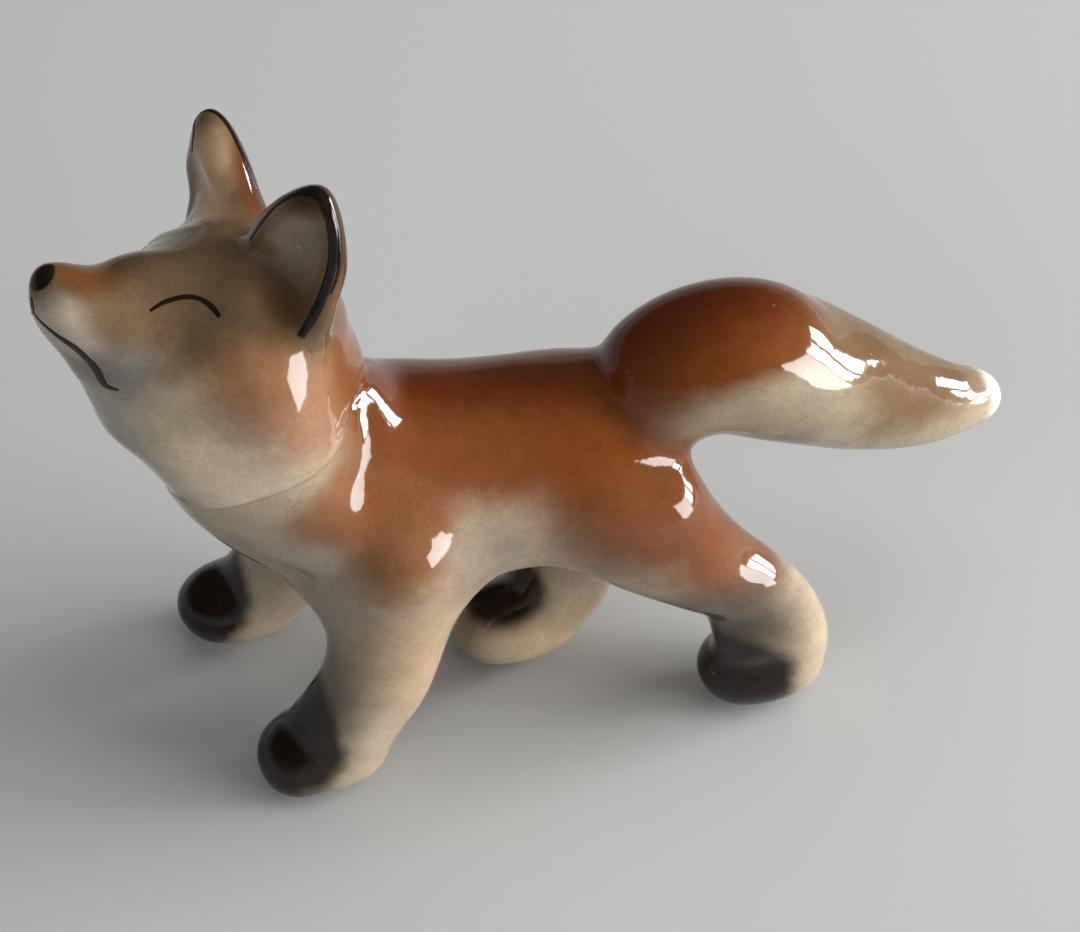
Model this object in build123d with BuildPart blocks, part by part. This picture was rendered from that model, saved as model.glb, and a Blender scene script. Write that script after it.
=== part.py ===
"""A small glazed porcelain fox cub that stands on four paws, head up and tail held back.

Millimetres. The head looks along -X, the left side of the body is -Y and +Z is up. The paws stand on
Z = 0, and the origin lies under the middle of the figure. Every piece is cast by itself and joined to
its neighbour with slip, so a piece ends where the larger piece that carries it begins.
"""

import os

from build123d import *

# Torso, hollow cast, from the chest back to the rump
torso_length = 20.5
torso_width = 11.2
torso_height = 12.0
chest_forward = 14.65
spine_height = 15.9
torso_wall = 1.5
vent_diameter = 1.2

# Neck, in one with the torso, up to the collar plane where the head is luted on
neck_width = 11.0
neck_depth = 11.2
collar_forward = 13.85
collar_height = 22.3
collar_pitch = 24.0
collar_roll = 16.0

# Head, hollow cast, with the ruff that spreads down to the collar
head_forward = 15.25
head_height = 28.2
head_yaw = 12.0
head_pitch = 40.0
head_roll = 16.0
skull_length = 10.8
skull_width = 11.3
skull_height = 10.2
muzzle_length = 6.4
muzzle_width = 4.6
muzzle_height = 5.2
muzzle_drop = 0.9
ruff_width = 11.4
ruff_depth = 11.2
ruff_lead = 2.4
head_wall = 2.0
throat_bore_diameter = 2.4

# Ears, pressed solid and hollowed in front
ear_height = 5.3
ear_width = 5.2
ear_thickness = 2.8
ear_rim = 0.55
ear_hollow_depth = 1.0
ear_spacing = 6.7
ear_seat_height = 3.5
ear_lean_out = 15.0
left_ear_forward = 0.8
left_ear_swing = 22.0
left_ear_lean = 18.0
right_ear_forward = 0.1
right_ear_swing = -5.0
right_ear_lean = 25.0

# Tail, cast solid
tail_reach = 21.4
tail_width = 7.6
tail_depth = 7.8
tail_arch = 7.0

# Legs, cast solid, each with a flat unglazed sole
front_leg_width = 5.8
front_leg_depth = 7.2
hind_leg_width = 7.2
hind_leg_depth = 8.0
paw_length = 6.8
paw_width = 4.7
paw_height = 4.8
front_left_reach = 4.3
front_left_stance = 5.1
front_right_reach = 6.7
front_right_stance = 5.3
hind_left_reach = 9.4
hind_left_stance = 5.3
hind_right_reach = 3.0
hind_right_stance = 0.4

left = (0, -1, 0)
up = (0, 0, 1)


def oval(plane, width, depth):
    """One oval section on a plane, by its full width and depth."""
    with BuildSketch(plane) as section:
        Ellipse(width / 2, depth / 2)
    return section.sketch


def ovals_along(places, widths, depths, across=left):
    """Oval sections square to the line through their places, with the width running across it."""
    path = [Vector(*place) for place in places]
    ahead = path[1:] + path[-1:]
    behind = path[:1] + path[:-1]
    facings = [after - before for before, after in zip(behind, ahead)]
    planes = [Plane(place, x_dir=across, z_dir=facing) for place, facing in zip(path, facings)]
    return [oval(*section) for section in zip(planes, widths, depths)]


def in_torso(along_share, side_share, rise_share):
    """A place by its shares of the torso's length, half width and height, from chest, middle and spine."""
    return (
        torso_length * along_share - chest_forward,
        torso_width / 2 * side_share,
        spine_height + torso_height * rise_share,
    )


# Each row is a place along the back, a width, a height and a rise above the spine line
torso_shares = [
    (0.000, 0.16, 0.18, 0.050),
    (0.016, 0.42, 0.45, 0.045),
    (0.065, 0.78, 0.84, 0.020),
    (0.200, 1.04, 1.08, 0.000),
    (0.460, 0.96, 0.93, 0.000),
    (0.655, 0.93, 0.90, -0.025),
    (0.825, 0.87, 0.83, -0.030),
    (0.935, 0.64, 0.65, -0.015),
    (0.982, 0.34, 0.35, 0.010),
    (1.000, 0.12, 0.12, 0.015),
]
torso_places = [in_torso(along, 0, rise) for along, _, _, rise in torso_shares]
torso_widths = [torso_width * width for _, width, _, _ in torso_shares]
torso_heights = [torso_height * height for _, _, height, _ in torso_shares]

# The collar plane faces up and forward, square to the neck, and leans with the head
neck_root_share = (0.25, 0.0, 0.02)
neck_bend_share = (0.10, 0.0, 0.28)
neck_overlap_share = 0.25
collar_centre = (-collar_forward, 0, collar_height)
neck_end = Plane(collar_centre, x_dir=left, z_dir=up).location * Rotation(collar_pitch, 0, 0)
collar = Plane(neck_end * Rotation(0, -collar_roll, 0))
neck_top = (neck_end * Pos(0, 0, neck_depth * neck_overlap_share)).position
neck_places = [in_torso(*neck_root_share), in_torso(*neck_bend_share), neck_top]

with BuildPart() as torso_form:
    loft(ovals_along(torso_places, torso_widths, torso_heights))
    loft(ovals_along(neck_places, [neck_width] * len(neck_places), [neck_depth] * len(neck_places)))
    split(bisect_by=collar, keep=Keep.BOTTOM)

# The cavity keeps one wall inside the barrel of the torso, is vented under the belly and runs on up
# the neck as a bore
barrel = slice(3, 7)
vent_share = (0.55, 0.0, 0.0)
throat_share = 0.75
with BuildPart() as torso:
    add(torso_form.part)
    loft(
        ovals_along(
            torso_places[barrel],
            [width - 2 * torso_wall for width in torso_widths[barrel]],
            [height - 2 * torso_wall for height in torso_heights[barrel]],
        ),
        mode=Mode.SUBTRACT,
    )
    with BuildSketch(Plane(in_torso(*vent_share))):
        Circle(vent_diameter / 2)
    extrude(amount=-torso_height, mode=Mode.SUBTRACT)
    with BuildSketch(collar):
        Circle(throat_bore_diameter / 2)
    extrude(amount=-neck_depth * throat_share, mode=Mode.SUBTRACT)
torso.part.label = "torso"

# The head frame looks along the muzzle, with X to the left of the head and Y up out of the crown
head_centre = (-head_forward, 0, head_height)
head_level = Plane(head_centre, x_dir=left, z_dir=(-1, 0, 0)).location
head_frame = head_level * Rotation(0, head_yaw, 0) * Rotation(-head_pitch, 0, 0) * Rotation(0, 0, head_roll)

# Each skull row is a place ahead of the middle, a width and a height; the muzzle's rows are a place
# from the skull's front to the nose tip, a width, a height and a drop below the skull's middle
skull_shares = [
    (-0.500, 0.12, 0.12),
    (-0.465, 0.40, 0.40),
    (-0.360, 0.69, 0.70),
    (-0.185, 0.91, 0.93),
    (0.000, 1.00, 1.00),
    (0.185, 0.94, 0.93),
]
brow_share = 0.36
muzzle_shares = [
    (0.00, 1.75, 1.50, 0.70),
    (0.22, 1.35, 1.20, 1.10),
    (0.46, 1.00, 0.96, 1.00),
    (0.70, 0.76, 0.76, 0.60),
    (0.86, 0.55, 0.55, 0.20),
    (0.96, 0.30, 0.30, -0.10),
    (1.00, 0.10, 0.10, -0.15),
]
skull_front = skull_length * brow_share
head_planes = [Plane(head_frame * Pos(0, 0, skull_length * along)) for along, _, _ in skull_shares]
head_planes += [
    Plane(head_frame * Pos(0, -muzzle_drop * drop, skull_front + muzzle_length * along))
    for along, _, _, drop in muzzle_shares
]
head_widths = [skull_width * width for _, width, _ in skull_shares]
head_widths += [muzzle_width * width for _, width, _, _ in muzzle_shares]
head_heights = [skull_height * height for _, _, height in skull_shares]
head_heights += [muzzle_height * height for _, _, height, _ in muzzle_shares]

# Each ruff row is a place from the collar up into the skull, a width and a depth
ruff_shares = [
    (-0.25, 1.02, 1.02),
    (0.15, 1.00, 1.00),
    (0.50, 0.97, 0.99),
    (0.80, 0.88, 0.92),
    (1.00, 0.74, 0.78),
]
ruff_top = (head_frame * Pos(0, 0, ruff_lead)).position
collar_to_skull = ruff_top - Vector(*collar_centre)
ruff_places = [tuple(Vector(*collar_centre) + collar_to_skull * along) for along, _, _ in ruff_shares]
ruff_widths = [ruff_width * width for _, width, _ in ruff_shares]
ruff_depths = [ruff_depth * depth for _, _, depth in ruff_shares]

with BuildPart() as head_form:
    loft([oval(*section) for section in zip(head_planes, head_widths, head_heights)])
    loft(ovals_along(ruff_places, ruff_widths, ruff_depths))
    split(bisect_by=collar, keep=Keep.TOP)

with BuildPart() as head:
    add(head_form.part)
    with Locations(head_centre):
        Sphere(skull_height / 2 - head_wall, mode=Mode.SUBTRACT)
    with BuildSketch(collar):
        Circle(throat_bore_diameter / 2)
    extrude(amount=head_height - collar_height, mode=Mode.SUBTRACT)
head.part.label = "head"

# Each ear row is a place from the seat to the tip, a width and a thickness
ear_shares = [
    (-0.25, 1.02, 1.00),
    (0.00, 1.00, 1.00),
    (0.30, 0.90, 0.90),
    (0.60, 0.68, 0.72),
    (0.85, 0.38, 0.46),
    (0.97, 0.14, 0.22),
    (1.00, 0.05, 0.08),
]
hollow_shares = [
    (-0.25, 1.00, 1.00),
    (0.10, 0.96, 1.00),
    (0.40, 0.82, 0.90),
    (0.70, 0.52, 0.60),
    (0.88, 0.20, 0.30),
]


def ear_sections(frame, rows, width, thickness):
    """The sections of one ear, or of its hollow, up from a frame at its seat."""
    return [
        oval(Plane(frame * Pos(0, 0, ear_height * along)), width * wide, thickness * thick)
        for along, wide, thick in rows
    ]


# The two ears are set by hand and don't match: the right one sits further back and opens more forward
ear_plans = {
    "left_ear": (ear_spacing, -ear_lean_out, left_ear_forward, left_ear_swing, left_ear_lean),
    "right_ear": (-ear_spacing, ear_lean_out, right_ear_forward, -right_ear_swing, right_ear_lean),
}
ears = {}
for name, (spacing, lean_out, forward, swing, lean) in ear_plans.items():
    seat = head_frame * Pos(spacing / 2, ear_seat_height, forward)
    ear_frame = seat * Rotation(lean, 0, 0) * Rotation(0, 0, lean_out) * Rotation(0, swing, 0)
    ear_frame = ear_frame * Rotation(-90, 0, 0)
    hollow_frame = ear_frame * Pos(0, -ear_thickness / 2, 0)
    with BuildPart() as ear:
        loft(ear_sections(ear_frame, ear_shares, ear_width, ear_thickness))
        loft(
            ear_sections(hollow_frame, hollow_shares, ear_width - 2 * ear_rim, 2 * ear_hollow_depth),
            mode=Mode.SUBTRACT,
        )
        add(head_form.part, mode=Mode.SUBTRACT)
    ear.part.label = name
    ears[name] = ear.part

# Each tail row is a place along its reach, a rise in arches above the tip, a width and a depth
tail_shares = [
    (0.00, 0.59, 0.68, 0.67),
    (0.10, 0.77, 0.84, 0.82),
    (0.215, 1.00, 0.95, 0.92),
    (0.345, 0.96, 1.00, 1.00),
    (0.47, 0.73, 0.95, 0.95),
    (0.63, 0.41, 0.82, 0.82),
    (0.78, 0.17, 0.63, 0.64),
    (0.89, 0.07, 0.45, 0.46),
    (0.965, 0.015, 0.26, 0.26),
    (1.00, 0.00, 0.08, 0.08),
]
tail_root_share = (0.805, 0.0, -0.20)
tail_root = in_torso(*tail_root_share)
tail_places = [
    (tail_root[0] + tail_reach * along, 0, tail_root[2] + tail_arch * rise)
    for along, rise, _, _ in tail_shares
]

with BuildPart() as tail:
    loft(
        ovals_along(
            tail_places,
            [tail_width * width for _, _, width, _ in tail_shares],
            [tail_depth * depth for _, _, _, depth in tail_shares],
        )
    )
    add(torso_form.part, mode=Mode.SUBTRACT)
tail.part.label = "tail"

# Each leg row is a share of the reach, of the spread from root to stance and of the root's height,
# then a width and a depth; the last row lies inside the paw
front_leg_shares = [
    (0.00, 0.00, 1.12, 0.45, 0.45),
    (0.00, 0.42, 1.00, 0.98, 0.98),
    (0.23, 0.74, 0.76, 0.90, 0.87),
    (0.46, 0.91, 0.51, 0.83, 0.79),
    (0.80, 0.98, 0.29, 0.80, 0.77),
    (1.00, 1.00, 0.13, 0.72, 0.62),
]
hind_left_shares = [
    (0.00, 0.00, 1.10, 0.50, 0.50),
    (0.02, 0.22, 0.95, 1.00, 0.98),
    (0.26, 0.46, 0.81, 0.90, 0.90),
    (0.51, 0.68, 0.66, 0.72, 0.69),
    (0.79, 0.84, 0.51, 0.61, 0.58),
    (1.00, 0.96, 0.33, 0.58, 0.56),
    (1.03, 1.00, 0.12, 0.54, 0.50),
]
hind_right_shares = [
    (0.00, 0.00, 1.06, 0.40, 0.40),
    (-0.02, -0.20, 0.95, 0.80, 0.78),
    (-0.12, -0.25, 0.72, 0.80, 0.78),
    (0.14, 0.19, 0.43, 0.66, 0.65),
    (0.66, 0.76, 0.24, 0.60, 0.58),
    (1.00, 1.00, 0.11, 0.52, 0.50),
]

# Each paw row is a place from heel to toes, a width, a height and its middle's height above the ground
paw_shares = [
    (0.00, 0.14, 0.14, 0.45),
    (0.02, 0.40, 0.40, 0.44),
    (0.09, 0.70, 0.70, 0.44),
    (0.21, 0.90, 0.89, 0.45),
    (0.40, 1.00, 0.98, 0.45),
    (0.62, 1.00, 0.96, 0.44),
    (0.80, 0.87, 0.84, 0.42),
    (0.92, 0.64, 0.62, 0.40),
    (0.98, 0.37, 0.36, 0.38),
    (1.00, 0.13, 0.13, 0.37),
]
ankle_share = 0.36

# Each root is a place in the torso, and each stance is how far back and how far right the ankle stands
leg_root_shares = {
    "front_left_leg": (0.30, -0.32, -0.08),
    "front_right_leg": (0.29, 0.32, -0.10),
    "hind_left_leg": (0.775, -0.30, 0.00),
    "hind_right_leg": (0.79, 0.36, -0.02),
}
leg_stances = {
    "front_left_leg": (-front_left_reach, -front_left_stance),
    "front_right_leg": (-front_right_reach, front_right_stance),
    "hind_left_leg": (hind_left_reach, -hind_left_stance),
    "hind_right_leg": (-hind_right_reach, hind_right_stance),
}
leg_forms = {
    "front_left_leg": (front_leg_width, front_leg_depth, front_leg_shares),
    "front_right_leg": (front_leg_width, front_leg_depth, front_leg_shares),
    "hind_left_leg": (hind_leg_width, hind_leg_depth, hind_left_shares),
    "hind_right_leg": (hind_leg_width, hind_leg_depth, hind_right_shares),
}
legs = {}
for name, root_share in leg_root_shares.items():
    root_x, root_y, root_z = in_torso(*root_share)
    reach, stance = leg_stances[name]
    leg_width, leg_depth, leg_rows = leg_forms[name]
    leg_places = [
        (root_x + reach * ahead, root_y + (stance - root_y) * out, root_z * height)
        for ahead, out, height, _, _ in leg_rows
    ]
    heel = root_x + reach + paw_length * ankle_share
    paw_places = [
        (heel - paw_length * ahead, stance, paw_height * middle)
        for ahead, _, _, middle in paw_shares
    ]
    with BuildPart() as leg:
        loft(
            ovals_along(
                leg_places,
                [leg_width * width for _, _, _, width, _ in leg_rows],
                [leg_depth * depth for _, _, _, _, depth in leg_rows],
            )
        )
        loft(
            ovals_along(
                paw_places,
                [paw_width * width for _, width, _, _ in paw_shares],
                [paw_height * height for _, _, height, _ in paw_shares],
            )
        )
        split(bisect_by=Plane.XY, keep=Keep.TOP)
        add(torso_form.part, mode=Mode.SUBTRACT)
        add(tail.part, mode=Mode.SUBTRACT)
    leg.part.label = name
    legs[name] = leg.part

pieces = {"torso": torso.part, "head": head.part, **ears, "tail": tail.part, **legs}
os.makedirs("parts", exist_ok=True)
for name, piece in pieces.items():
    export_step(piece, f"parts/{name}.step")
    size = piece.bounding_box().size
    print(f"{name}: {size.X:.1f} x {size.Y:.1f} x {size.Z:.1f} mm, {piece.volume:.0f} mm3")

figure = Compound(children=list(pieces.values())).bounding_box()
print(f"figure from {figure.min} to {figure.max}")
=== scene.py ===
"""The looks of a small glazed porcelain fox cub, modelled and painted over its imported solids.

Places are in millimetres in the figure's own frame, and become metres where a mesh, lamp or material is
made. The fox looks along -X, its left side is -Y and +Z is up.
"""

import math

import bmesh
import bpy
import numpy as np
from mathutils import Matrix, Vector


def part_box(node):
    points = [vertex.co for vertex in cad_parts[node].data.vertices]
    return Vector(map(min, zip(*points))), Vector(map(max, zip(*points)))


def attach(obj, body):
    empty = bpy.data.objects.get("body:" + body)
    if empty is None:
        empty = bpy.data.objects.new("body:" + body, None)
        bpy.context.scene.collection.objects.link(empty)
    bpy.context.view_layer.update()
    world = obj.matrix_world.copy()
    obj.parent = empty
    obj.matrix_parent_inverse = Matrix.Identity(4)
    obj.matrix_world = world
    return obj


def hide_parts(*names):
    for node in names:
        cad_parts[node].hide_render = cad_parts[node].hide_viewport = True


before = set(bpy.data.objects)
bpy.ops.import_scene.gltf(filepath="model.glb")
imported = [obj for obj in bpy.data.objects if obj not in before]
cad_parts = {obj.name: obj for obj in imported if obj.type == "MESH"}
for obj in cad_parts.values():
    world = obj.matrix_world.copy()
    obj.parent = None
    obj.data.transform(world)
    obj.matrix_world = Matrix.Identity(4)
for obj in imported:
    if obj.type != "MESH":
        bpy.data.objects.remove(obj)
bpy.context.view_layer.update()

import openvdb
from mathutils import Matrix, Vector
from mathutils.bvhtree import BVHTree

MM = 0.001

# The camera stands above the fox's left side, where the photograph was taken from. It comes first, so
# that a painted line can be laid on the glaze by the points of the photograph that it runs through.
PHOTO_WIDTH, PHOTO_HEIGHT = 1080, 932
camera_aim = Vector((2.02, 12.16, 0.0))
camera_distance = 136.24
camera_rise = math.radians(50)
camera_swing = math.radians(-14)

camera_back = Vector(
    (
        math.cos(camera_rise) * math.sin(camera_swing),
        -math.cos(camera_rise) * math.cos(camera_swing),
        math.sin(camera_rise),
    )
)
camera_place = camera_aim + camera_back * camera_distance
camera_turn = camera_back.to_track_quat("Z", "Y")
camera = bpy.data.objects.new("camera", bpy.data.cameras.new("camera"))
camera.location = camera_place * MM
camera.rotation_mode = "QUATERNION"
camera.rotation_quaternion = camera_turn
camera.data.sensor_width = 36
camera.data.lens = 78.57
camera.data.clip_start = 0.01
bpy.context.scene.collection.objects.link(camera)
bpy.context.scene.camera = camera


def sight_line(x, y):
    """The direction from the camera through one point of the photograph."""
    focal = camera.data.lens / camera.data.sensor_width * PHOTO_WIDTH
    ray = Vector(((x - PHOTO_WIDTH / 2) / focal, (PHOTO_HEIGHT / 2 - y) / focal, -1))
    return (camera_turn @ ray).normalized()


# The clay body. The real fox is nine separate casts, luted with wet slip while leather hard. The slip
# leaves a fillet in each joint, and the thick clear glaze rounds every edge after it, so the casts are
# first measured into one block of grains, and each piece is cut out of that block again.
GRAIN = 0.13
REACH = 2.6
VENT_WALL = 1.6
WELD = 1e-7
slip_fillets = {
    "torso": 0.0,
    "head": 0.6,
    "left_ear": 0.9,
    "right_ear": 1.2,
    "tail": 1.0,
    "front_left_leg": 2.4,
    "front_right_leg": 2.4,
    "hind_left_leg": 1.3,
    "hind_right_leg": 1.3,
}
cast_boxes = {node: [np.array(corner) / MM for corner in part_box(node)] for node in slip_fillets}
block_low = np.min([low for low, high in cast_boxes.values()], axis=0) - REACH
block_high = np.max([high for low, high in cast_boxes.values()], axis=0) + REACH
block_start = np.floor(block_low / GRAIN).astype(int)
block_shape = np.ceil(block_high / GRAIN).astype(int) - block_start + 1
block_scale = openvdb.createLinearTransform(voxelSize=GRAIN)


def block_part(low, high):
    """The part of the block between two corners, as slices along X, Y and Z."""
    first = np.floor(np.array(low) / GRAIN).astype(int) - block_start
    last = np.ceil(np.array(high) / GRAIN).astype(int) - block_start + 1
    first, last = np.clip(first, 0, block_shape - 1), np.clip(last, 1, block_shape)
    return tuple(slice(int(a), int(b)) for a, b in zip(first, last))


def grain_start(part):
    """Where a part of the block starts, counted in grains from the origin."""
    return tuple(int(s.start + o) for s, o in zip(part, block_start))


def grain_places(part):
    """The X, Y and Z of each grain in a part of the block, ready to be broadcast together."""
    axes = [np.arange(s.start, s.stop) + o for s, o in zip(part, block_start)]
    return np.meshgrid(*[(axis * GRAIN).astype(np.float32) for axis in axes], indexing="ij", sparse=True)


def measured_cast(node):
    """How far each grain near a cast lies from its surface, negative inside."""
    merged = bmesh.new()
    merged.from_mesh(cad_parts[node].data)
    bmesh.ops.remove_doubles(merged, verts=merged.verts, dist=WELD)
    points = np.array([vertex.co for vertex in merged.verts], np.float32) / np.float32(MM)
    corners = np.array([[vertex.index for vertex in face.verts] for face in merged.faces], np.uint32)
    merged.free()
    grid = openvdb.FloatGrid.createLevelSetFromPolygons(
        points, triangles=corners, transform=block_scale, halfWidth=REACH / GRAIN
    )
    part = cast_parts[node]
    depths = np.zeros([s.stop - s.start for s in part], np.float32)
    grid.copyToArray(depths, ijk=grain_start(part))
    return depths


def filleted(first, second, radius):
    """Two solids as one, with a fillet of slip in the corner between them."""
    near = np.clip(radius - np.abs(first - second), 0, None) / radius
    return np.minimum(first, second) - near * near * radius / 4


def ramp(values, start, end):
    """0 up to the start, 1 past the end, and straight between them, whichever is the larger."""
    return np.clip((values - start) / (end - start), 0, 1)


def hollowed(solid, tool, radius):
    """A solid with a tool's shape pressed out of it, and a rounded lip around the hollow."""
    return -filleted(-solid, tool, radius)


def softened(field, reaches):
    """Smooths a field by averaging each grain with those at each reach to both sides of it."""
    field = field.copy()
    for reach in reaches:
        for axis in range(3):
            turned = np.moveaxis(field, axis, 0)
            turned[reach:-reach] = (
                turned[: -2 * reach] + 2 * turned[reach:-reach] + turned[2 * reach :]
            ) / 4
    return field


cast_parts = {
    node: block_part(low - REACH, high + REACH) for node, (low, high) in cast_boxes.items()
}
casts = {node: measured_cast(node) for node in slip_fillets}
clay = np.full(block_shape, REACH, np.float32)
nearest = np.full(block_shape, REACH, np.float32)
next_nearest = np.full(block_shape, REACH, np.float32)
owner = np.full(block_shape, -1, np.int8)
for index, (node, fillet) in enumerate(slip_fillets.items()):
    part, depths = cast_parts[node], casts[node]
    clay[part] = filleted(clay[part], depths, fillet) if fillet else depths
    closer = depths < nearest[part]
    next_nearest[part] = np.where(closer, nearest[part], np.minimum(next_nearest[part], depths))
    owner[part] = np.where(closer, index, owner[part])
    nearest[part] = np.where(closer, depths, nearest[part])


def solid_beside(solid, axis, backward):
    """Where some solid lies on one side of a grain."""
    turned = np.flip(solid, axis) if backward else solid
    seen = np.logical_or.accumulate(turned, axis)
    return np.flip(seen, axis) if backward else seen


# What is closed in on all sides can't be seen, so it is filled. The vent stays open as deep as the wall.
solid = clay < 0
closed_in = np.ones(block_shape, bool)
for axis, backward in ((0, False), (0, True), (1, False), (1, True), (2, True)):
    closed_in &= solid_beside(solid, axis, backward)
belly_height = cast_boxes["torso"][0][2]
above_vent = (np.arange(block_shape[2]) + block_start[2]) * GRAIN > belly_height + VENT_WALL
closed_in &= solid_beside(solid, 2, False) | above_vent
clay[closed_in & ~solid] = -REACH
del solid, closed_in

# The head is modelled further while its clay is soft: a button nose, full cheeks, sunken lids, lips, and
# ears thumbed hollow. Its own frame looks along the muzzle: ahead, left, and up out of the crown.
head_centre = Vector((-15.25, 0.0, 28.2))
head_yaw, head_pitch, head_roll = math.radians(12), math.radians(40), math.radians(16)
head_turn = (
    Matrix.Rotation(head_yaw, 3, "Z")
    @ Matrix(((-1, 0, 0), (0, -1, 0), (0, 0, 1)))
    @ Matrix.Rotation(-head_pitch, 3, "Y")
    @ Matrix.Rotation(head_roll, 3, "X")
)


def in_head(ahead, left, up):
    """A place in the head's own frame, as a place in the figure."""
    return head_centre + head_turn @ Vector((ahead, left, up))


def own_places(part, centre, turn):
    """How far each grain of a part lies from a centre, along the three columns of a turn."""
    offsets = [axis - middle for axis, middle in zip(grain_places(part), centre)]
    return [sum(offset * turn[row][column] for row, offset in enumerate(offsets)) for column in range(3)]


def rise(places, centre, size):
    """A soft round rise, 1 in its middle and fading over its size."""
    return np.exp(-sum(((place - c) / s) ** 2 for place, c, s in zip(places, centre, size)))


def ball(places, centre, size):
    """A rounded solid by its half sizes."""
    distance = np.sqrt(sum(((place - c) / s) ** 2 for place, c, s in zip(places, centre, size)))
    return (distance - 1) * min(size)


head_part = cast_parts["head"]
head_places = own_places(head_part, head_centre, head_turn)
ahead, left, up = head_places

# The joints and edges of the figure are sponged over, but less on the face, the ears and the collar, and
# not at all on the soles
GLAZE_THINNING = 0.06
smooth = softened(clay, (1, 2, 3, 4)) - GLAZE_THINNING
x, y, z = grain_places(tuple(slice(0, int(span)) for span in block_shape))
kept = ramp(z, 1.2, 0.2) + np.zeros(block_shape, np.float32)
face_kept = ramp(ahead, 6.5, 8.5) + ramp(up, 3.4, 4.6)
kept[head_part] = np.clip(kept[head_part] + face_kept, 0, 1)
for node in ("left_ear", "right_ear"):
    kept[cast_parts[node]] = np.maximum(kept[cast_parts[node]], ramp(casts[node], 0.9, 0.3))
head_depths = np.full(block_shape, REACH, np.float32)
head_depths[head_part] = np.abs(casts["head"])
torso_depths = np.full(block_shape, REACH, np.float32)
torso_depths[cast_parts["torso"]] = np.abs(casts["torso"])
collar_near = np.maximum(torso_depths, head_depths)
COLLAR_KEPT = 0.35
kept = np.maximum(kept, np.minimum(ramp(collar_near, 0.96, 0.36), COLLAR_KEPT))
clay = smooth + (clay - smooth) * kept
del smooth, kept, face_kept, head_depths, torso_depths, collar_near

# The jaw runs into the ruff without an edge, above a line that falls away towards the nape
JAW_LINE_FALL = 0.40
head_clay = clay[head_part]
smoother = softened(head_clay, (2, 3, 4, 5, 6))
jaw = ramp(ahead, 6.5, 4.5) * ramp(up, 3.2, 1.6)
head_x, head_y, head_z = grain_places(head_part)
above_collar = ramp(head_z + JAW_LINE_FALL * (head_x + 12.0), 24.5, 25.7)
head_clay = head_clay + (smoother - head_clay) * jaw * above_collar
NOSE_FILLET = 0.3
nose = ball(head_places, (9.75, 0.0, 0.30), (0.48, 0.62, 0.66))
head_clay = filleted(head_clay, nose, NOSE_FILLET)


def both_sides(touches):
    """Touches of a thumb, each made on the near and the far side."""
    return [((a, side * b, c), size, off) for (a, b, c), size, off in touches for side in (-1, 1)]


# Where each touch lies, how far it reaches, and how much clay comes off, or is added where the number is
# negative: lips, a hollow beside the muzzle, brows and cheeks on both sides, then a full throat, a raised
# bridge that drops towards the nose, a full forehead and a slimmer chin
head_touches = both_sides(
    [
        ((7.6, 1.2, -1.2), (1.6, 0.9, 0.9), -0.14),
        ((4.8, 3.1, 0.2), (1.8, 1.2, 1.1), 0.30),
        ((2.6, 3.6, 3.0), (1.8, 1.2, 0.9), -0.20),
        ((-1.1, 5.2, -1.9), (2.4, 1.9, 2.2), -1.40),
    ]
) + [
    ((3.4, 0.0, -5.0), (2.0, 2.8, 1.6), -0.80),
    ((5.7, 0.0, 2.4), (1.4, 2.2, 1.3), -0.75),
    ((8.0, 0.0, 1.9), (1.9, 2.0, 1.2), 0.28),
    ((4.5, 0.0, 3.3), (1.1, 2.2, 1.0), -0.28),
    ((7.4, 0.0, -2.4), (1.9, 2.0, 1.2), 0.22),
]
for middle, size, off in head_touches:
    head_clay += off * rise(head_places, middle, size)
clay[head_part] = head_clay

# The same for the rest of the figure: shoulders pinched up, a fold pressed in under the ruff and a swell
# on the tail's side, then single touches at the near haunch and hock, the far ear, the near fore paw,
# the tail's ridge and underside, and the shank of the far hind leg
TOUCH_SPAN = 5.0
figure_touches = both_sides(
    [
        ((-9.2, 6.0, 16.3), (2.1, 1.7, 2.0), -1.20),
        ((-9.9, 2.7, 23.4), (1.2, 2.2, 1.5), 0.72),
        ((-10.5, 4.6, 22.0), (1.3, 1.6, 1.5), 0.75),
        ((12.9, 2.9, 19.5), (2.4, 1.3, 1.6), -0.40),
    ]
) + [
    ((5.3, -4.5, 15.2), (1.5, 1.5, 2.2), -0.45),
    ((9.6, -5.9, 9.9), (1.4, 1.4, 1.4), -0.30),
    ((-16.3, 5.9, 31.5), (0.9, 1.2, 1.8), 0.35),
    ((-15.7, 6.6, 33.2), (0.8, 1.2, 1.5), 0.35),
    ((-14.8, -4.8, 5.5), (1.5, 1.9, 1.4), -0.65),
    ((-10.2, -7.0, 4.6), (1.4, 1.5, 2.4), 0.35),
    ((-16.0, -6.8, 1.6), (1.5, 1.4, 1.2), -0.30),
    ((14.5, 0.6, 21.4), (3.0, 2.4, 1.5), 0.30),
    ((19.5, -0.6, 13.9), (2.4, 1.8, 1.2), -0.30),
    ((1.2, 0.6, 4.6), (1.6, 2.2, 2.4), -1.20),
]
for middle, size, off in figure_touches:
    touch_part = block_part(np.array(middle) - TOUCH_SPAN, np.array(middle) + TOUCH_SPAN)
    clay[touch_part] += off * rise(grain_places(touch_part), middle, size)

# The tail ends in a blunt tip, and wet clay is added above both hind paws: where each lump lies, its half
# sizes and the fillet around it
for node, middle, size, fillet in (
    ("tail", (21.95, 0.0, 14.05), (1.05, 0.95, 1.05), 1.2),
    ("hind_left_leg", (8.2, -5.5, 5.4), (1.8, 1.6, 1.5), 1.3),
    ("hind_right_leg", (0.9, 0.9, 5.4), (1.9, 1.9, 2.6), 1.3),
):
    lump = ball(grain_places(cast_parts[node]), middle, size)
    clay[cast_parts[node]] = filleted(clay[cast_parts[node]], lump, fillet)


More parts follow.
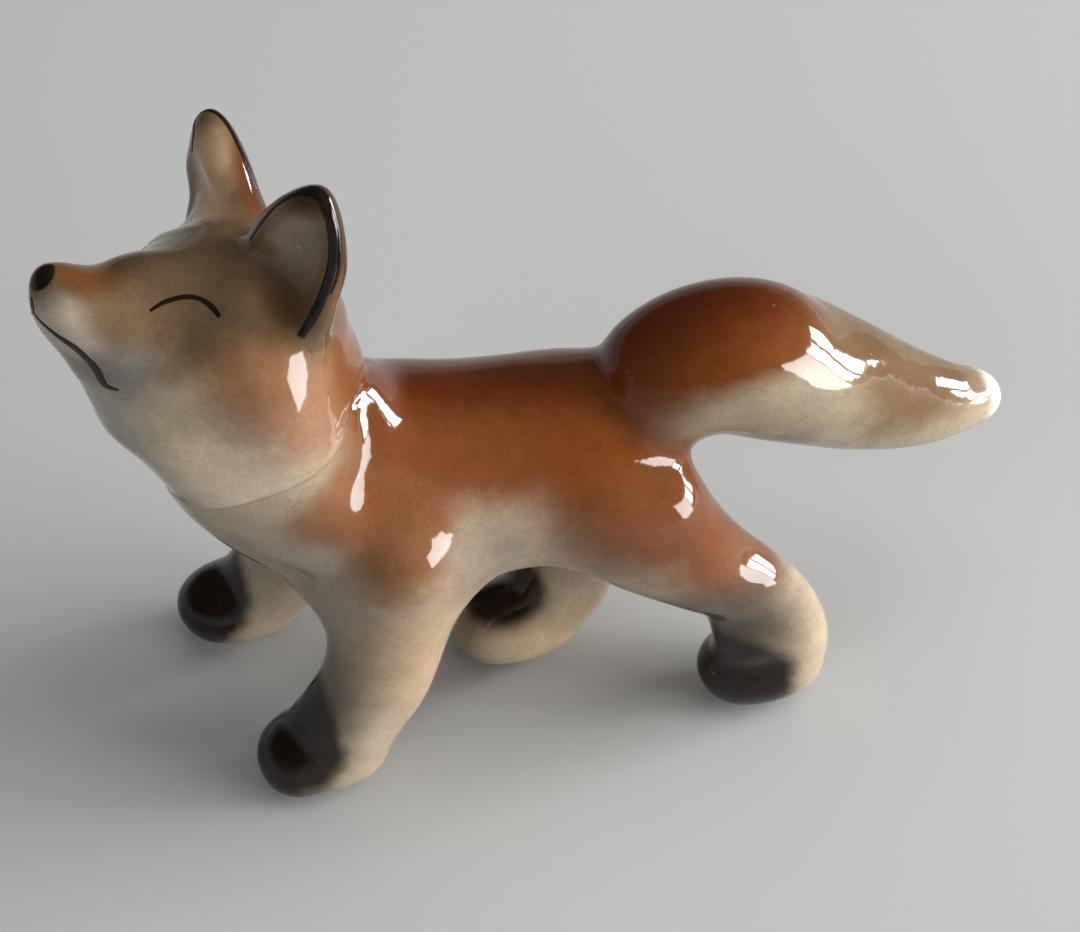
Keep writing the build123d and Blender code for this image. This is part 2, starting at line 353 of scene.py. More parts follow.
def sponge(part, middle, size, reaches, edge):
    """Smooths the clay of one part of the block inside an oval, less and less towards its edge."""
    soft = softened(clay[part], reaches)
    clay[part] += (soft - clay[part]) * ramp(ball(grain_places(part), middle, size), 0, -edge)


# The fold behind the neck, both near ankles and the forehead are sponged smooth
SPONGE_EDGE = 1.4
SPONGE_MARGIN = 1.5
for middle, size, reaches in (
    ((-8.8, 0.0, 21.0), (3.2, 7.5, 4.2), (2, 3)),
    ((7.1, -5.7, 6.1), (3.1, 3.2, 3.0), (3, 4, 5, 6)),
    ((-14.2, -5.0, 6.4), (2.8, 3.2, 3.2), (3, 4, 5, 6)),
    ((-17.6, 2.0, 32.9), (2.6, 3.2, 2.2), (3, 4, 5, 6)),
):
    low = np.array(middle) - size - SPONGE_MARGIN
    high = np.array(middle) + size + SPONGE_MARGIN
    sponge(block_part(low, high), middle, size, reaches, SPONGE_EDGE)

# Each ear is built up a little and thumbed hollow: where the middle of the hollow lies, which way it
# faces, and its half sizes across, up and into the ear
EAR_SWELL = 0.30
HOLLOW_LIP = 0.5
HOLLOW_LIFT = 0.45
ear_hollows = {
    "left_ear": ((-12.0, -2.50, 34.3), (-0.50, -0.80, 0.33), (1.50, 2.8, 0.9)),
    "right_ear": ((-14.4, 4.2, 34.2), (-0.62, -0.72, 0.30), (1.15, 2.3, 0.6)),
}
for node, (middle, facing, size) in ear_hollows.items():
    ear_part = cast_parts[node]
    above_head = ramp(own_places(ear_part, head_centre, head_turn)[2], 4.2, 5.7)
    clay[ear_part] -= EAR_SWELL * ramp(casts[node], 1.2, 0.6) * above_head
    out = Vector(facing).normalized()
    along = (head_turn.col[2] - out * head_turn.col[2].dot(out)).normalized()
    hollow_turn = Matrix((along.cross(out), along, out)).transposed()
    hollow = ball(own_places(ear_part, middle, hollow_turn), (0, 0, HOLLOW_LIFT), size)
    clay[ear_part] = softened(hollowed(clay[ear_part], hollow, HOLLOW_LIP), (1, 2))
far_ear_root = block_part((-18.5, 1.5, 28.5), (-12.5, 7.5, 34.0))
sponge(far_ear_root, (-15.7, 4.4, 31.1), (2.5, 2.8, 2.3), (3, 4, 5, 6), edge=1.3)
del head_places, ahead, left, up, smoother, jaw, above_collar, head_clay, nose

# A thick glaze rounds every edge a little, and the soles are rubbed flat where the fox stands
clay = np.maximum(softened(clay, (1,)), -z)

SEAM_LAP = 0.5
SEAM_DIP = 0.1


def skin_of(field, part):
    """The surface of a field as points in millimetres, triangles and quads."""
    grid = openvdb.FloatGrid(REACH)
    grid.transform = block_scale
    grid.copyFromArray(np.ascontiguousarray(field, np.float32), ijk=grain_start(part))
    return grid.convertToPolygons(0.0, 0.0)


def mesh_piece(name, points, faces):
    """A smooth piece with its faces turned outwards, from points in millimetres."""
    mesh = bpy.data.meshes.new(name)
    mesh.from_pydata((np.asarray(points) * MM).tolist(), [], faces)
    shape = bmesh.new()
    shape.from_mesh(mesh)
    bmesh.ops.recalc_face_normals(shape, faces=shape.faces)
    shape.to_mesh(mesh)
    shape.free()
    mesh.shade_smooth()
    piece = bpy.data.objects.new(name, mesh)
    bpy.context.scene.collection.objects.link(piece)
    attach(piece, "root")
    return piece


def glazed_cast(node):
    """Cuts one piece out of the block. Past its seam it dips under its neighbour, so no gap shows."""
    index = list(slip_fillets).index(node)
    part = cast_parts[node]
    others = np.where(owner[part] == index, next_nearest[part], nearest[part])
    past = (casts[node] - others) / 2
    dip = SEAM_DIP * ramp(past, 0, SEAM_LAP) ** 2
    points, triangles, quads = skin_of(np.maximum(clay[part] + dip, past - SEAM_LAP), part)
    piece = mesh_piece(node + "_glazed", points, quads.tolist() + triangles.tolist())
    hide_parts(node)
    return piece


# Torso: one hollow slip cast from chest to rump, with the neck up to the collar and a vent hole under
# the belly. The brown is sprayed along the back before glazing, and fades to bare cream underneath.
def add_node(tree, kind, inputs, **settings):
    """A node with its settings, whose inputs are values or other nodes' outputs."""
    node = tree.nodes.new(kind)
    for name, value in settings.items():
        setattr(node, name, value)
    for name, value in inputs.items():
        if isinstance(value, bpy.types.NodeSocket):
            tree.links.new(value, node.inputs[name])
        else:
            node.inputs[name].default_value = value
    return node


def maths(tree, operation, *values):
    """The result of one sum on numbers."""
    return add_node(tree, "ShaderNodeMath", dict(enumerate(values)), operation=operation).outputs["Value"]


def vector_maths(tree, operation, *values):
    """The result of one sum on vectors."""
    node = add_node(tree, "ShaderNodeVectorMath", dict(enumerate(values)), operation=operation)
    return node.outputs["Vector"]


def scaled(tree, vector, scale):
    """A vector or colour times a number."""
    inputs = {0: vector, "Scale": scale}
    return add_node(tree, "ShaderNodeVectorMath", inputs, operation="SCALE").outputs["Vector"]


def ranged(tree, value, start, end, at_start, at_end, **settings):
    """One range of values turned into another."""
    inputs = {"Value": value, "From Min": start, "From Max": end, "To Min": at_start, "To Max": at_end}
    return add_node(tree, "ShaderNodeMapRange", inputs, **settings).outputs["Result"]


def noise(tree, place, scale, detail):
    """A noise texture over a place."""
    return add_node(tree, "ShaderNodeTexNoise", {"Vector": place, "Scale": scale, "Detail": detail})


MIX_FIRST, MIX_SECOND, MIX_RESULT = 6, 7, 2


def mixed(tree, share, first, second):
    """Two colours mixed by the share of the second."""
    inputs = {0: share, MIX_FIRST: first, MIX_SECOND: second}
    return add_node(tree, "ShaderNodeMix", inputs, data_type="RGBA").outputs[MIX_RESULT]


def plain_colour(tree, colour):
    """One even colour."""
    node = add_node(tree, "ShaderNodeRGB", {})
    node.outputs[0].default_value = (*colour, 1)
    return node.outputs[0]


def new_group(name, inputs, outputs):
    """An empty node group with named inputs and outputs, and its two end nodes."""
    group = bpy.data.node_groups.new(name, "ShaderNodeTree")
    for label, (kind, value) in inputs.items():
        group.interface.new_socket(label, in_out="INPUT", socket_type=kind).default_value = value
    for label, kind in outputs.items():
        group.interface.new_socket(label, in_out="OUTPUT", socket_type=kind)
    return group, group.nodes.new("NodeGroupInput"), group.nodes.new("NodeGroupOutput")


# One pass of the airbrush: full inside an oval cloud, fading out across its softness. The drift is a
# slow noise that leaves the cloud ragged.
spray_group, given, result = new_group(
    "airbrush pass",
    {
        "Place": ("NodeSocketVector", (0, 0, 0)),
        "Drift": ("NodeSocketVector", (0, 0, 0)),
        "Centre": ("NodeSocketVector", (0, 0, 0)),
        "Size": ("NodeSocketVector", (1, 1, 1)),
        "Softness": ("NodeSocketFloat", 0.3),
        "Raggedness": ("NodeSocketFloat", 0.3),
        "Strength": ("NodeSocketFloat", 1.0),
    },
    {"Cover": "NodeSocketFloat"},
)
place, drift = given.outputs["Place"], given.outputs["Drift"]
softness, strength = given.outputs["Softness"], given.outputs["Strength"]
moved = vector_maths(spray_group, "MULTIPLY_ADD", drift, given.outputs["Raggedness"], place)
offset = vector_maths(spray_group, "SUBTRACT", moved, given.outputs["Centre"])
shares = vector_maths(spray_group, "DIVIDE", offset, given.outputs["Size"])
distance = add_node(spray_group, "ShaderNodeVectorMath", {0: shares}, operation="LENGTH").outputs["Value"]
inner = maths(spray_group, "SUBTRACT", 1.0, softness)
outer = maths(spray_group, "ADD", 1.0, softness)
cover = ranged(spray_group, distance, inner, outer, strength, 0.0, interpolation_type="SMOOTHSTEP")
spray_group.links.new(cover, result.inputs["Cover"])

# Fired colour: the droplets of the spray as fine mottling, broad clouds where the coat is thicker, and a
# few pale pinholes where the glaze has boiled
PINHOLE_CREAM = (0.45, 0.36, 0.26, 1)
fired_group, given, result = new_group(
    "fired colour",
    {
        "Place": ("NodeSocketVector", (0, 0, 0)),
        "Colour": ("NodeSocketColor", (0.5, 0.5, 0.5, 1)),
        "Droplets": ("NodeSocketFloat", 0.2),
        "Clouds": ("NodeSocketFloat", 0.15),
        "Pinholes": ("NodeSocketFloat", 0.35),
    },
    {"Colour": "NodeSocketColor"},
)
place = given.outputs["Place"]
strengths = []
for scale, detail, label in ((5.5, 2.0, "Droplets"), (0.9, 3.0, "Clouds")):
    swing = maths(fired_group, "SUBTRACT", noise(fired_group, place, scale, detail).outputs["Fac"], 0.5)
    swing = maths(fired_group, "MULTIPLY", swing, given.outputs[label])
    strengths.append(maths(fired_group, "MULTIPLY_ADD", swing, 2.0, 1.0))
mottled = scaled(fired_group, given.outputs["Colour"], maths(fired_group, "MULTIPLY", *strengths))
bubbles = add_node(fired_group, "ShaderNodeTexVoronoi", {"Vector": place, "Scale": 0.5})
burst = ranged(fired_group, bubbles.outputs["Distance"], 0.02, 0.055, given.outputs["Pinholes"], 0.0)
fired_group.links.new(mixed(fired_group, burst, mottled, PINHOLE_CREAM), result.inputs["Colour"])

# Crazing: the net of hair cracks that opens in the glaze as it ages
CRACK_BROWN = (0.06, 0.03, 0.015, 1)
CRACK_BEND = (0.7, 0.7, 0.7)
craze_group, given, result = new_group(
    "crazing",
    {
        "Place": ("NodeSocketVector", (0, 0, 0)),
        "Colour": ("NodeSocketColor", (0.5, 0.5, 0.5, 1)),
        "Cell": ("NodeSocketFloat", 1.4),
        "Stain": ("NodeSocketFloat", 0.25),
    },
    {"Colour": "NodeSocketColor"},
)
place = given.outputs["Place"]
bend = noise(craze_group, place, 1.1, 2.0).outputs["Color"]
bent = vector_maths(craze_group, "MULTIPLY_ADD", bend, CRACK_BEND, place)
net = add_node(
    craze_group,
    "ShaderNodeTexVoronoi",
    {"Vector": bent, "Scale": maths(craze_group, "DIVIDE", 1.0, given.outputs["Cell"])},
    feature="DISTANCE_TO_EDGE",
)
presence = noise(craze_group, place, 0.45, 1.0).outputs["Fac"]
shown = ranged(craze_group, presence, 0.46, 0.66, 0.0, given.outputs["Stain"])
crack = ranged(craze_group, net.outputs["Distance"], 0.0, 0.03, shown, 0.0)
stained = mixed(craze_group, crack, given.outputs["Colour"], CRACK_BROWN)
craze_group.links.new(stained, result.inputs["Colour"])

# Glaze ripple: the slow waves that the molten glaze sets in, which break up its reflections
ripple_group, given, result = new_group(
    "glaze ripple",
    {
        "Place": ("NodeSocketVector", (0, 0, 0)),
        "Swell": ("NodeSocketFloat", 0.06),
        "Peel": ("NodeSocketFloat", 0.01),
    },
    {"Height": "NodeSocketFloat"},
)
swell = noise(ripple_group, given.outputs["Place"], 0.42, 1.0).outputs["Fac"]
peel = noise(ripple_group, given.outputs["Place"], 1.6, 1.0).outputs["Fac"]
swollen = maths(ripple_group, "MULTIPLY", swell, given.outputs["Swell"])
rippled = maths(ripple_group, "MULTIPLY_ADD", peel, given.outputs["Peel"], swollen)
ripple_group.links.new(rippled, result.inputs["Height"])

# The paints, as they look through the clear glaze
bare_cream = (0.36, 0.28, 0.19)
shade_grey = (0.215, 0.178, 0.128)
fox_brown = (0.122, 0.036, 0.007)
deep_brown = (0.060, 0.010, 0.0015)
tan_brown = (0.112, 0.060, 0.024)
shoulder_orange = (0.155, 0.058, 0.017)
leg_cream = (0.50, 0.365, 0.225)
shin_grey = (0.085, 0.063, 0.045)
shin_brown = (0.055, 0.036, 0.022)
black_brown = (0.010, 0.005, 0.003)
far_black = (0.022, 0.011, 0.005)
tail_cream = (0.29, 0.235, 0.155)
fade_cream = (0.19, 0.150, 0.108)


def group_in(tree, group, inputs):
    """One use of a node group with its own values."""
    return add_node(tree, "ShaderNodeGroup", inputs, node_tree=group)


def raggedness(size, softness):
    """How far the drift pulls at a pass: more for a large cloud, less for a hard edge."""
    return min(1.6, 0.5 * min(size)) * min(1, 2.5 * softness)


def spray(tree, place, drift, colour, passes):
    """Lays passes of the airbrush over a colour, one after the other."""
    for paint, centre, size, softness, strength in passes:
        inputs = {"Place": place, "Drift": drift, "Centre": centre, "Size": size, "Softness": softness}
        inputs.update({"Raggedness": raggedness(size, softness), "Strength": strength})
        cover = group_in(tree, spray_group, inputs).outputs["Cover"]
        colour = mixed(tree, cover, colour, (*paint, 1))
    return colour


def both_flanks(paint, centre, size, softness, strength):
    """The same pass of the airbrush on the near and the far side."""
    x, y, z = centre
    return [(paint, (x, side * y, z), size, softness, strength) for side in (-1, 1)]


# The coat of the body: its passes run on across torso, tail and legs, as they did on the joined figure
coat_passes = [
    (shade_grey, (-14.0, -1.0, 16.5), (4.5, 8.0, 6.5), 0.45, 0.80),
    (shade_grey, (-13.4, -5.0, 11.5), (2.4, 3.5, 7.0), 0.5, 0.75),
    (shade_grey, (-15.0, 5.0, 10.0), (3.0, 3.5, 6.5), 0.5, 0.90),
    (leg_cream, (-8.2, -7.0, 10.0), (2.2, 2.2, 6.0), 0.5, 0.7),
    *both_flanks(shoulder_orange, (-9.6, 7.0, 12.4), (2.6, 1.9, 4.4), 0.70, 0.32),
    (fox_brown, (-1.5, -0.3, 22.4), (12.4, 7.2, 5.6), 0.28, 0.97),
    (fox_brown, (4.2, -1.0, 17.4), (7.4, 8.6, 6.4), 0.26, 0.95),
    (fox_brown, (8.0, -5.0, 12.2), (4.6, 3.6, 3.0), 0.35, 0.90),
    (fox_brown, (2.8, 5.0, 13.6), (4.4, 3.6, 3.6), 0.35, 0.90),
    (fox_brown, (8.5, 0.0, 24.6), (10.5, 5.0, 4.5), 0.30, 0.95),
    *both_flanks(tail_cream, (10.0, 3.5, 20.0), (5.0, 2.2, 2.1), 0.40, 0.90),
    (tan_brown, (14.4, 0.0, 21.2), (3.6, 3.0, 2.6), 0.50, 0.90),
    (tan_brown, (17.8, -0.3, 18.1), (6.2, 3.9, 3.5), 0.35, 0.95),
    *both_flanks(shoulder_orange, (-11.6, 5.0, 20.6), (2.6, 2.4, 2.1), 0.50, 0.92),
    *both_flanks(shoulder_orange, (-9.0, 5.5, 18.2), (2.8, 2.6, 3.4), 0.40, 0.90),
    *both_flanks(fade_cream, (-5.0, 6.3, 15.6), (2.4, 2.4, 2.7), 0.45, 0.80),
    (deep_brown, (-1.5, 1.2, 22.8), (11.5, 3.2, 2.6), 0.60, 0.85),
    (deep_brown, (7.5, 1.2, 25.6), (7.5, 3.2, 2.8), 0.60, 0.85),
    (shin_grey, (6.4, -6.4, 8.6), (4.4, 3.0, 2.3), 0.5, 0.85),
]
coat_group, given, result = new_group(
    "fox coat",
    {"Place": ("NodeSocketVector", (0, 0, 0)), "Drift": ("NodeSocketVector", (0, 0, 0))},
    {"Colour": "NodeSocketColor"},
)
cream = plain_colour(coat_group, bare_cream)
coat = spray(coat_group, given.outputs["Place"], given.outputs["Drift"], cream, coat_passes)
coat_group.links.new(coat, result.inputs["Colour"])

SOLE_DEPTH = 0.08
BISQUE = (0.42, 0.36, 0.28, 1)
GLAZE_ROUGHNESS = 0.07
BISQUE_ROUGHNESS = 0.75
GLAZE_IOR = 1.42


def glazed_finish(name, ground, passes, droplets=0.22, clouds=0.18, stain=0.22, swell=0.07):
    """A sprayed and glazed finish: a ground colour or the coat, its own passes, and bare clay at Z = 0."""
    material = bpy.data.materials.new(name)
    material.use_nodes = True
    tree = material.node_tree
    shader = tree.nodes["Principled BSDF"]
    where = add_node(tree, "ShaderNodeTexCoord", {})
    place = scaled(tree, where.outputs["Object"], 1 / MM)
    drift = vector_maths(tree, "SUBTRACT", noise(tree, place, 0.8, 4.0).outputs["Color"], (0.5, 0.5, 0.5))
    if ground is None:
        colour = group_in(tree, coat_group, {"Place": place, "Drift": drift}).outputs["Colour"]
    else:
        colour = plain_colour(tree, ground)
    colour = spray(tree, place, drift, colour, passes)
    inputs = {"Place": place, "Colour": colour, "Droplets": droplets, "Clouds": clouds}
    colour = group_in(tree, fired_group, inputs).outputs["Colour"]
    inputs = {"Place": place, "Colour": colour, "Stain": stain}
    colour = group_in(tree, craze_group, inputs).outputs["Colour"]
    height = add_node(tree, "ShaderNodeSeparateXYZ", {0: place}).outputs["Z"]
    sole = ranged(tree, height, SOLE_DEPTH, 2 * SOLE_DEPTH, 1.0, 0.0)
    colour = mixed(tree, sole, colour, BISQUE)
    roughness = ranged(tree, sole, 0.0, 1.0, GLAZE_ROUGHNESS, BISQUE_ROUGHNESS)
    ripple = group_in(tree, ripple_group, {"Place": place, "Swell": swell}).outputs["Height"]
    bump = add_node(tree, "ShaderNodeBump", {"Strength": 1.0, "Distance": MM, "Height": ripple})
    tree.links.new(colour, shader.inputs["Base Color"])
    tree.links.new(roughness, shader.inputs["Roughness"])
    tree.links.new(bump.outputs["Normal"], shader.inputs["Normal"])
    shader.inputs["IOR"].default_value = GLAZE_IOR
    return material


torso = glazed_cast("torso")
torso.data.materials.append(glazed_finish("body glaze", None, []))

# Tail: one solid cast, luted on behind the rump. It is sprayed darkest along its top, fades to cream
# below, turns tan near its end and has a white tip.
tail_white = (0.66, 0.64, 0.55)
tail_passes = [(tail_white, (23.6, 0.0, 14.0), (1.7, 1.9, 1.9), 0.30, 1.0)]
tail = glazed_cast("tail")
tail.data.materials.append(glazed_finish("tail glaze", None, tail_passes))

# Legs: four solid casts luted to chest and haunches. Each paw is dipped in black over a shaded shin, the
# backs of the legs keep the cream of the clay, and the flat soles are wiped bare to stand in the kiln.
leg_passes = {
    "front_left_leg": [
        (shin_brown, (-13.9, -4.8, 7.6), (2.4, 3.0, 3.9), 0.6, 0.75),
        (black_brown, (-15.1, -5.2, 3.8), (3.1, 2.9, 4.4), 0.15, 1.0),
    ],
    "front_right_leg": [
        (black_brown, (-18.2, 5.3, 3.6), (3.0, 3.0, 3.8), 0.15, 1.0),
    ],
    "hind_left_leg": [
        (shin_brown, (7.8, -5.8, 6.6), (3.6, 2.6, 1.9), 0.5, 0.75),
        (black_brown, (8.0, -5.2, 2.6), (3.6, 3.9, 4.3), 0.15, 1.0),
    ],
    "hind_right_leg": [
        (leg_cream, (-1.0, 0.8, 3.0), (4.0, 4.0, 3.4), 0.3, 0.9),
        (shin_brown, (-2.9, 0.5, 5.0), (3.0, 2.4, 2.2), 0.4, 0.6),
        (far_black, (-3.0, 0.5, 5.3), (2.6, 2.4, 2.1), 0.2, 1.0),
    ],
}
for node, passes in leg_passes.items():
    leg = glazed_cast(node)
    leg.data.materials.append(glazed_finish(node.replace("_", " ") + " glaze", None, passes))

# Head and ears: a hollow cast with two pressed ears luted on. The face is sprayed tan with a paler jaw
# and ruff, orange on the muzzle and cheeks, and its lines are drawn with a fine brush in black enamel.
head_paint = (0.094, 0.058, 0.029)
throat_grey = (0.31, 0.285, 0.235)
cheek_cream = (0.34, 0.265, 0.17)
cheek_orange = (0.235, 0.115, 0.055)
muzzle_orange = (0.095, 0.036, 0.011)
muzzle_tan = (0.125, 0.080, 0.044)
lip_white = (0.38, 0.31, 0.25)
lip_lilac = (0.15, 0.132, 0.118)
ruff_cream = (0.55, 0.435, 0.305)
nape_rust = (0.14, 0.048, 0.016)
ear_back = (0.110, 0.048, 0.020)
ear_grey = (0.17, 0.125, 0.082)
ear_tan = (0.42, 0.27, 0.155)
# Dark edge paint on the near ear, and also painted shadow down the far ear's back edge
ear_edge_and_shadow = (0.035, 0.014, 0.005)
ear_shadow = (0.058, 0.030, 0.011)
rust = (0.090, 0.028, 0.009)


def head_pass(paint, place, size, softness, strength):
    """A pass of the airbrush by its place in the head's own frame."""
    return (paint, tuple(in_head(*place)), (size, size, size), softness, strength)


ear_passes = {
    "left_ear": [
        (ear_grey, (-12.3, -2.6, 35.2), (1.4, 1.6, 2.2), 0.5, 0.85),
        (ear_shadow, (-12.9, -2.6, 32.0), (1.5, 1.6, 1.8), 0.6, 0.8),
        (ear_back, (-9.6, -2.2, 32.5), (1.5, 2.6, 3.5), 0.4, 0.95),
        (ear_edge_and_shadow, (-9.7, -2.4, 34.8), (0.9, 2.2, 2.6), 0.4, 0.9),
        (ear_edge_and_shadow, (-10.8, -1.3, 37.0), (2.0, 1.6, 0.9), 0.5, 0.9),
    ],
    "right_ear": [
        (ear_tan, (-14.9, 4.4, 33.7), (1.4, 1.8, 2.9), 0.5, 0.95),
        (rust, (-13.0, 4.5, 32.4), (1.1, 2.0, 2.7), 0.4, 0.95),
        # Painted shadow: the far ear's back edge, darkened as if it lay in shade
        (ear_edge_and_shadow, (-12.3, 4.6, 33.6), (1.0, 1.9, 2.9), 0.3, 0.95),
    ],
}
head_passes = [head_pass(throat_grey, (4.0, 0.0, -6.0), 4.6, 0.45, 0.85)]
for side in (-1, 1):
    head_passes += [
        head_pass(cheek_cream, (2.6, 4.2 * side, -3.4), 2.4, 0.5, 0.85),
        head_pass(ruff_cream, (-1.6, 4.4 * side, -5.2), 4.1, 0.4, 0.95),
        head_pass(cheek_orange, (1.2, 5.0 * side, -0.6), 2.2, 0.6, 0.75),
        head_pass(cheek_orange, (-1.8, 5.2 * side, -1.0), 2.6, 0.6, 0.85),
        head_pass(nape_rust, (-3.9, 3.7 * side, 0.9), 2.1, 0.5, 0.85),
        head_pass(lip_lilac, (6.4, 2.4 * side, -1.9), 1.4, 0.5, 0.9),
        head_pass(lip_white, (8.8, 1.3 * side, -1.4), 1.5, 0.5, 0.9),
        head_pass(muzzle_tan, (7.1, 2.2 * side, 0.4), 1.7, 0.5, 0.9),
    ]
head_passes += [
    head_pass(muzzle_orange, (8.3, 0.0, 1.3), 1.6, 0.35, 0.95),
    head_pass(black_brown, (10.15, 0.0, 0.45), 0.70, 0.08, 1.0),
]
# The sprays at the roots of the ears run on over the head, so that the colour doesn't change at a seam
head_passes += ear_passes["left_ear"][1:3] + ear_passes["right_ear"][:2]
head = glazed_cast("head")
head.data.materials.append(glazed_finish("head glaze", head_paint, head_passes, stain=0.2))
for node, passes in ear_passes.items():
    ear = glazed_cast(node)
    ear.data.materials.append(glazed_finish(node.replace("_", " ") + " glaze", head_paint, passes))

# The painted lines lie on the glaze of the head and both ears, taken as one skin
head_boxes = [cast_boxes[node] for node in ("head", "left_ear", "right_ear")]
line_low = np.min([low for low, high in head_boxes], axis=0)
line_high = np.max([high for low, high in head_boxes], axis=0)
line_part = block_part(line_low - 1, line_high + 1)
skin_points, skin_triangles, skin_quads = skin_of(clay[line_part], line_part)
skin = BVHTree.FromPolygons(skin_points.tolist(), skin_quads.tolist() + skin_triangles.tolist())
HEAD_NEAREST, HEAD_FURTHEST, SIGHT_STEP = 70.0, 130.0, 0.25


def on_glaze(x, y):
    """The place on the head's glaze that one point of the photograph shows, or the nearest to it."""
    ray = sight_line(x, y)
    place, normal, face, distance = skin.ray_cast(camera_place, ray)
    if place is None:
        spots = [
            skin.find_nearest(camera_place + ray * reach)
            for reach in np.arange(HEAD_NEAREST, HEAD_FURTHEST, SIGHT_STEP)
        ]
        place = min(spots, key=lambda spot: spot[3])[0]
    return place


def across_head(place):
    """The same place on the other side of the head."""
    ahead, left, up = head_turn.transposed() @ (place - head_centre)
    return skin.find_nearest(in_head(ahead, -left, up))[0]


LINE_STEPS = 10
LINE_EDGE, LINE_CROWN, LINE_ROOT = 0.012, 0.022, 0.06
LINE_SHARES = (-1, -0.7, -0.35, 0, 0.35, 0.7, 1)


def flowing(a, b, c, d, t):
    """A place between b and c, on a smooth curve that comes from a and runs on to d."""
    bend = a * 2 - b * 5 + c * 4 - d
    twist = b * 3 - a - c * 3 + d
    return (b * 2 + (c - a) * t + bend * t * t + twist * t**3) / 2


def brush_line(name, places, widths):
    """A thin raised line of enamel through places on the glaze, as wide at each as its width."""
    path, breadths = [], []
    count = len(places)
    for i in range(count - 1):
        knots = [places[max(0, min(count - 1, k))] for k in (i - 1, i, i + 1, i + 2)]
        for step in range(LINE_STEPS):
            t = step / LINE_STEPS
            path.append(flowing(*knots, t))
            breadths.append(widths[i] * (1 - t) + widths[i + 1] * t)
    path.append(places[-1])
    breadths.append(widths[-1])
    points, rings = [], []
    for i, place in enumerate(path):
        along = path[min(i + 1, len(path) - 1)] - path[max(i - 1, 0)]
        normal = skin.find_nearest(place)[1]
        across = along.cross(normal).normalized()
        top, bottom = [], []
        for share in LINE_SHARES:
            spot, up, face, gap = skin.find_nearest(place + across * breadths[i] / 2 * share)
            top.append(spot + up * (LINE_EDGE + LINE_CROWN * (1 - share * share)))
            bottom.append(spot - up * LINE_ROOT)
        rings.append(range(len(points), len(points) + len(top) + len(bottom)))
        points += top + bottom[::-1]
    faces = []
    for first, second in zip(rings, rings[1:]):
        for k in range(len(first)):
            after = (k + 1) % len(first)
            faces.append((first[k], first[after], second[after], second[k]))
    faces += [tuple(rings[0]), tuple(reversed(rings[-1]))]
    line = mesh_piece(name, points, faces)
    line.data.materials.append(enamel)


enamel = glazed_finish("black enamel", black_brown, [], droplets=0.3, stain=0.0, swell=0.03)
face_lines = {
    "eye_line": (
        [(150, 311), (165, 302), (185, 297), (200, 299), (212, 307), (220, 317)],
        [0.12, 0.20, 0.22, 0.20, 0.26, 0.16],
    ),
    "mouth_line": (
        [(31, 297), (33, 311), (50, 330), (75, 348), (95, 368), (105, 385), (119, 390)],
        [0.08, 0.14, 0.22, 0.36, 0.42, 0.36, 0.12],
    ),
}
for name, (marks, widths) in face_lines.items():
    near_side = [on_glaze(x, y) for x, y in marks]
    brush_line("left_" + name, near_side, widths)
    brush_line("right_" + name, [across_head(place) for place in near_side], widths)
rim_lines = {
    "left_ear_rim": (
        [(250, 240), (260, 224), (273, 208), (288, 196), (305, 190), (320, 194), (329, 209), (333, 230),
         (333, 252), (330, 273), (323, 295), (313, 317), (301, 337)],
        [0.12, 0.24, 0.30, 0.44, 0.70, 0.80, 0.70, 0.52, 0.46, 0.46, 0.48, 0.50, 0.36],
    ),
    "left_ear_edge": (
        [(322, 196), (332, 207), (338, 226), (340, 250), (338, 274), (331, 294)],
        [0.30, 0.28, 0.20, 0.18, 0.16, 0.08],
    ),
    "right_ear_rim": (
        [(192, 152), (193, 134), (196, 118), (206, 110), (218, 113), (229, 125), (240, 146), (250, 169),
         (257, 190)],
        [0.12, 0.34, 0.46, 0.46, 0.42, 0.46, 0.46, 0.40, 0.12],
    ),
}
for name, (marks, widths) in rim_lines.items():
    brush_line(name, [on_glaze(x, y) for x, y in marks], widths)

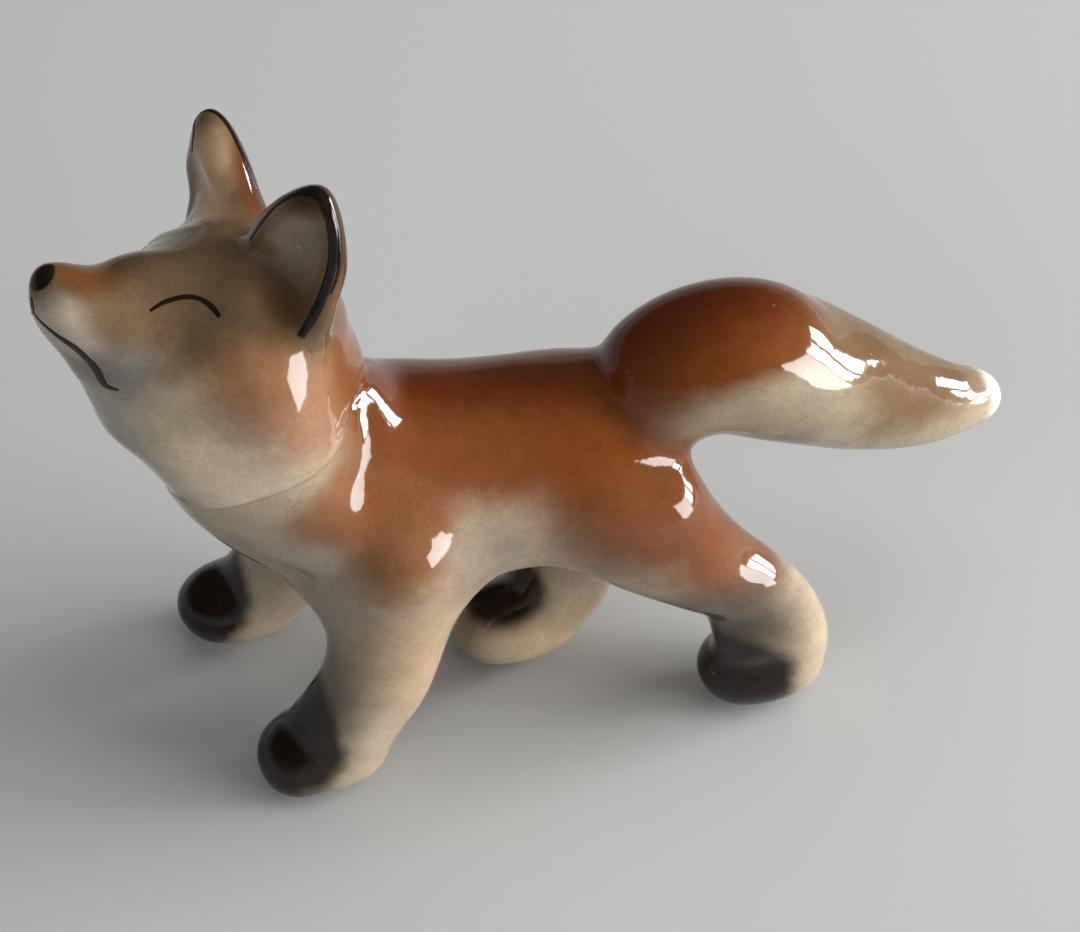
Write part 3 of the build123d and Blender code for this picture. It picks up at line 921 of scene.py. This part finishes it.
# The table: a plain pale sheet of matt paper that the fox stands on. It lies flat and is far wider than
# the figure.
TABLE_WIDTH = 1.6
bpy.ops.mesh.primitive_plane_add(size=TABLE_WIDTH)
table = bpy.context.object
table.name = "table"
table_paper = bpy.data.materials.new("table paper")
table_paper.use_nodes = True
paper = table_paper.node_tree.nodes["Principled BSDF"]
paper.inputs["Base Color"].default_value = (0.41, 0.41, 0.405, 1)
paper.inputs["Roughness"].default_value = 0.9
table.data.materials.append(table_paper)

# The lamps: three window panes low on the tail side, which draw the bright shapes in the glaze, and three
# broad soft fills that the glaze doesn't mirror. All face a point at the height of the legs.
LAMP_AIM = Vector((0, 0, 0.015))


def lamp(name, azimuth, elevation, distance, width, height, power, mirrored=True):
    """A rectangular lamp that faces the figure from a direction, in degrees and metres."""
    heading, climb = math.radians(azimuth), math.radians(elevation)
    out = Vector(
        (math.cos(climb) * math.cos(heading), math.cos(climb) * math.sin(heading), math.sin(climb))
    )
    light = bpy.data.lights.new(name, "AREA")
    light.shape = "RECTANGLE"
    light.size, light.size_y = width, height
    light.energy = power
    placed = bpy.data.objects.new(name, light)
    placed.location = out * distance + LAMP_AIM
    placed.rotation_euler = out.to_track_quat("Z", "Y").to_euler()
    placed.visible_glossy = mirrored
    bpy.context.scene.collection.objects.link(placed)


lamp("window_pane_1", -15, 12, 0.5, 0.13, 0.11, 1.7)
lamp("window_pane_2", 4, 12, 0.5, 0.14, 0.11, 1.7)
lamp("window_pane_3", -36, 6, 0.5, 0.21, 0.21, 2.4)
lamp("side_fill", -8, 42, 0.7, 0.5, 0.5, 2.8, mirrored=False)
lamp("ceiling_fill", 60, 75, 0.7, 0.7, 0.7, 2.1, mirrored=False)
lamp("room_fill", -145, 26, 0.8, 0.6, 0.6, 2.0, mirrored=False)

# The room is pale along the table's horizon and dim overhead, so that the glaze mirrors it softly
room = bpy.data.worlds.new("room")
room.use_nodes = True
tree = room.node_tree
heading = add_node(tree, "ShaderNodeTexCoord", {})
climb = add_node(tree, "ShaderNodeSeparateXYZ", {0: heading.outputs["Generated"]}).outputs["Z"]
level = ranged(tree, climb, 0.0, 0.30, 0.38, 0.055, interpolation_type="SMOOTHSTEP")
tree.nodes["Background"].inputs["Color"].default_value = (0.92, 0.96, 1.0, 1)
tree.links.new(level, tree.nodes["Background"].inputs["Strength"])
bpy.context.scene.world = room
bpy.context.scene.view_settings.view_transform = "Standard"
